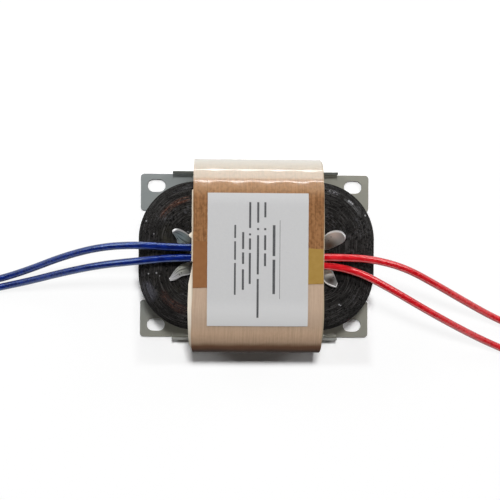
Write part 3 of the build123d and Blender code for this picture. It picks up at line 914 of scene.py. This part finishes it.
galvanised = new_finish("galvanised_sheet", {"Metallic": 0.3, "Roughness": 0.42})
zinc_place = standing(galvanised)
zinc_cells = put(galvanised, "ShaderNodeTexVoronoi", {"Vector": zinc_place, "Scale": 420.0}, feature="SMOOTH_F1")
zinc_cloud = cloud(galvanised, zinc_place, (0.012, 0.012, 0.012), 4.0)
zinc_x, zinc_y = (coordinate(galvanised, zinc_place, axis) for axis in "XY")
to_corner = work_out(galvanised, "SUBTRACT", zinc_x, zinc_y)
across_part = step(galvanised, to_corner, -0.045, 0.0)
zinc_low = mix(galvanised, across_part, shade(150, 156, 156), shade(157, 156, 144))
zinc_high = mix(galvanised, across_part, shade(160, 166, 167), shade(172, 170, 158))
zinc_colour = mix(galvanised, zinc_cloud, zinc_low, zinc_high)
spangle = times(galvanised, zinc_cells.outputs["Distance"], 0.25)
give(galvanised, "Base Color", mix(galvanised, spangle, zinc_colour, shade(168, 170, 164)))
zinc_gloss = put(galvanised, "ShaderNodeMapRange", {"Value": zinc_cloud, "To Min": 0.34, "To Max": 0.5})
give(galvanised, "Roughness", zinc_gloss.outputs[0])
relief(galvanised, zinc_cloud, 0.00006)
petal_metal = new_finish("hand_bent_petals", {"Metallic": 0.25, "Roughness": 0.32})
petal_place = standing(petal_metal)
petal_cloud = cloud(petal_metal, petal_place, (0.004, 0.004, 0.004), 3.0)
petal_colour = mix(petal_metal, petal_cloud, shade(110, 111, 108), shade(160, 160, 158))
petal_plan = in_plan(petal_metal, petal_place)
# Painted reflections, highlights and shade on the petals: place and reach in millimetres, and colour.
for tint_x, tint_y, reach, painted_light_tint in (
    (-26.2, 6.6, 5.0, shade(146, 162, 168)), (-28.3, 9.2, 2.8, shade(132, 134, 144)),
    (26.3, 8.7, 5.0, shade(214, 196, 187)), (25.0, 3.8, 3.8, shade(84, 64, 52)),
    (-28.5, -6.6, 4.5, shade(186, 186, 186)), (-26.4, -4.0, 3.8, shade(200, 202, 190)),
    (24.6, -5.6, 2.8, shade(255, 250, 245)), (25.3, -8.1, 2.4, shade(64, 56, 52)),
):
    painted_light_share = near(petal_metal, petal_plan, (tint_x / 1000, tint_y / 1000, 0), reach / 1000)
    petal_colour = mix(petal_metal, painted_light_share, petal_colour, painted_light_tint)
on_petal = mapped(petal_metal)
on_left = step(petal_metal, coordinate(petal_metal, petal_place, "X"), 0.01, -0.01)
# Painted shade in the left petals' creases.
crease_shade = step(petal_metal, cloud(petal_metal, on_petal, (0.1, 0.9, 1), 3.0, 6.0), 0.48, 0.38)
crease_shade = times(petal_metal, crease_shade, on_left)
petal_colour = mix(petal_metal, times(petal_metal, crease_shade, 0.75), petal_colour, shade(52, 54, 54))
pits = put(petal_metal, "ShaderNodeTexVoronoi", {"Vector": petal_place, "Scale": 520.0}).outputs["Distance"]
petal_colour = mix(petal_metal, step(petal_metal, pits, 0.15, 0.1), petal_colour, shade(60, 54, 52))
# The petals' outer edges and tips are painted bright, partly wear from the bending and partly painted highlight,
# brighter on the right petals than on the left.
outer_rim = step(petal_metal, coordinate(petal_metal, on_petal, "X"), 0.86, 0.93)
tip_rim = step(petal_metal, coordinate(petal_metal, on_petal, "Y"), 0.95, 1.0)
rim_wear_and_highlight = work_out(petal_metal, "MAXIMUM", outer_rim, tip_rim)
rim_wear_and_highlight_colour = mix(petal_metal, on_left, shade(255, 253, 252), shade(214, 214, 216))
petal_colour = mix(petal_metal, rim_wear_and_highlight, petal_colour, rim_wear_and_highlight_colour)
give(petal_metal, "Base Color", petal_colour)
relief(petal_metal, petal_cloud, 0.0002)
cut_metal = new_finish("bright_cut_edge", {"Metallic": 0.3, "Roughness": 0.35})
cut_cloud = cloud(cut_metal, standing(cut_metal), (0.001, 0.001, 0.001), 3.0)
give(cut_metal, "Base Color", mix(cut_metal, cut_cloud, shade(186, 186, 187), shade(226, 226, 226)))
sheared = new_finish("sheared_sheet_edge", {"Metallic": 0.3, "Roughness": 0.45})
sheared_place = standing(sheared)
sheared_cloud = cloud(sheared, sheared_place, (0.002, 0.002, 0.002), 3.0)
# Painted light and shade: the sheared edges are dark on the rear side and light on the front side.
painted_light_side = step(sheared, coordinate(sheared, sheared_place, "Y"), -0.01, 0.01)
sheared_low = mix(sheared, painted_light_side, shade(156, 158, 153), shade(78, 80, 76))
sheared_high = mix(sheared, painted_light_side, shade(182, 183, 178), shade(104, 106, 101))
give(sheared, "Base Color", mix(sheared, sheared_cloud, sheared_low, sheared_high))
bracket = fit("folded_bracket", bracket_mesh, galvanised, "bracket_steel", "mounting_bracket")
for finish in (sheared, petal_metal, cut_metal):
    bracket_mesh.materials.append(finish)
thicken = bracket.modifiers.new("sheet", "SOLIDIFY")
thicken.material_offset_rim = 1
thicken.thickness = SHEET
thicken.offset = 0
thicken.use_even_offset = True
soften = bracket.modifiers.new("cut_edges", "BEVEL")
soften.width = SHEET_EDGE
soften.segments = 2
soften.limit_method = "ANGLE"
soften.angle_limit = math.radians(40)
soften.use_clamp_overlap = False
soften.harden_normals = True

# Studio: a white bench top that fades to plain white beyond the transformer and its shadow, a soft lamp above and
# behind, two wide dim lamps at the sides and a weak one low in front. A low window behind, with a bright top edge and
# foot, is what the film reflects as two bright lines with a pale band between them, a band that is also painted into
# the film's colour.
KEY_TILT = math.radians(15)
KEY_DISTANCE = 1.2
KEY_SIZE = 0.14
KEY_POWER = 9.65
WORLD_LEVEL = 0.032
WALL_TOP = (0.3, 0.22)
BENCH_HALF = 30
BENCH_REACH = 0.7
BENCH_SEEN = 1.12
BENCH_BOUNCE = 0.18
END_FADE = (0.0412, 0.0452)
SIDE_FADE = (0.0385, 0.0415)
FADE_SHARE = 0.88

bench_mesh = bpy.data.meshes.new("bench")
bench_corners = [(BENCH_HALF * x, BENCH_HALF * y, 0) for x, y in ((-1, -1), (1, -1), (1, 1), (-1, 1))]
bench_mesh.from_pydata(bench_corners, [], [(0, 1, 2, 3)])
bench = bpy.data.objects.new("bench", bench_mesh)
bpy.context.scene.collection.objects.link(bench)
bench_top = new_finish(
    "white_bench_top", {"Roughness": 0.9, "Specular IOR Level": 0.0, "Emission Color": (1, 1, 1, 1)}
)


def looked_at(finish):
    """1 for what the camera sees, also in a reflection or through a clear piece, and 0 for lamp light that bounces."""
    rays = put(finish, "ShaderNodeLightPath", {}).outputs
    seen = work_out(finish, "MAXIMUM", rays["Is Camera Ray"], rays["Is Glossy Ray"])
    return work_out(finish, "MAXIMUM", seen, rays["Is Transmission Ray"])


seen = looked_at(bench_top)
bench_place = standing(bench_top)
far_off = step(bench_top, near(bench_top, bench_place, (0, 0, 0), BENCH_REACH), 0.75, 0.3)
off_ends, off_sides = (
    step(bench_top, work_out(bench_top, "ABSOLUTE", coordinate(bench_top, bench_place, axis)), *fade)
    for axis, fade in (("X", END_FADE), ("Y", SIDE_FADE))
)
off_part = times(bench_top, work_out(bench_top, "MAXIMUM", off_ends, off_sides), FADE_SHARE)
far_off = work_out(bench_top, "MAXIMUM", far_off, off_part)
seen_colour = mix(bench_top, far_off, (BENCH_SEEN, BENCH_SEEN, BENCH_SEEN, 1), (0, 0, 0, 1))
give(bench_top, "Base Color", mix(bench_top, seen, (BENCH_BOUNCE, BENCH_BOUNCE, BENCH_BOUNCE, 1), seen_colour))
give(bench_top, "Emission Strength", times(bench_top, seen, far_off))
bench_mesh.materials.append(bench_top)


def panel(name, place, aim, width, height, power):
    """Flat lamp at a place, turned towards a point."""
    lamp = bpy.data.lights.new(name, "AREA")
    lamp.shape = "RECTANGLE"
    lamp.size = width
    lamp.size_y = height
    lamp.energy = power
    holder = bpy.data.objects.new(name, lamp)
    holder.location = place
    holder.rotation_euler = (Vector(aim) - Vector(place)).to_track_quat("-Z", "Y").to_euler()
    holder.visible_camera = False
    bpy.context.scene.collection.objects.link(holder)
    return holder


key_place = (0, KEY_DISTANCE * math.sin(KEY_TILT), KEY_DISTANCE * math.cos(KEY_TILT))
soft_key = panel("soft_key", key_place, (0, 0, 0.02), KEY_SIZE, KEY_SIZE, KEY_POWER)
soft_key.visible_glossy = False
for name, side in (("left_wall", -1), ("right_wall", 1)):
    panel(name, (side * 0.58, 0.4, 0.4), (0, 0, 0.02), 0.4, 0.4, 2.1)
panel("front_bounce", (0, -0.6, 0.06), (0, -0.03, 0.02), 0.6, 0.1, 0.24)
panel("low_window", (0, 0.62, 0.15), (0, 0.03, 0.03), 0.26, 0.3, 0.34)
panel("window_top_edge", (0, 0.56, 0.31), (0, 0.03, 0.03), 1.0, 0.03, 1.5).visible_diffuse = False
panel("window_foot", (0, 0.2, 0.006), (0, 0.03, 0.03), 0.3, 0.014, 0.12).visible_diffuse = False
world = bpy.data.worlds.new("studio")
bpy.context.scene.world = world
world.use_nodes = True
# Low down, the camera sees a white wall all round.
direction = put(world, "ShaderNodeTexCoord", {}).outputs["Generated"]
wall_share = times(world, looked_at(world), step(world, coordinate(world, direction, "Z"), *WALL_TOP))
room_light = mix(world, wall_share, (WORLD_LEVEL, WORLD_LEVEL, WORLD_LEVEL, 1), (1, 1, 1, 1))
world.node_tree.links.new(room_light, world.node_tree.nodes["Background"].inputs["Color"])

# Camera: it looks down on the lying transformer, from a little to the left of its middle and leaning back by two
# degrees. The part lies turned a little clockwise in its view.
CAMERA_HEIGHT = 0.412
LEAN = math.radians(2.0)
PICTURE_TURN = math.radians(0.43)
CAMERA_X = -0.01604
CAMERA_Y = 0.0021
SENSOR = 36.0
FOCAL_IN_PICTURE_WIDTHS = 1122 / 500

lens = bpy.data.cameras.new("camera")
lens.sensor_width = SENSOR
lens.lens = SENSOR * FOCAL_IN_PICTURE_WIDTHS
camera = bpy.data.objects.new("camera", lens)
bpy.context.scene.collection.objects.link(camera)
camera.location = (CAMERA_X, CAMERA_Y, CAMERA_HEIGHT)
camera.rotation_euler = (Matrix.Rotation(-LEAN, 4, "Y") @ Matrix.Rotation(PICTURE_TURN, 4, "Z")).to_euler()
bpy.context.scene.camera = camera
bpy.context.scene.view_settings.view_transform = "Standard"
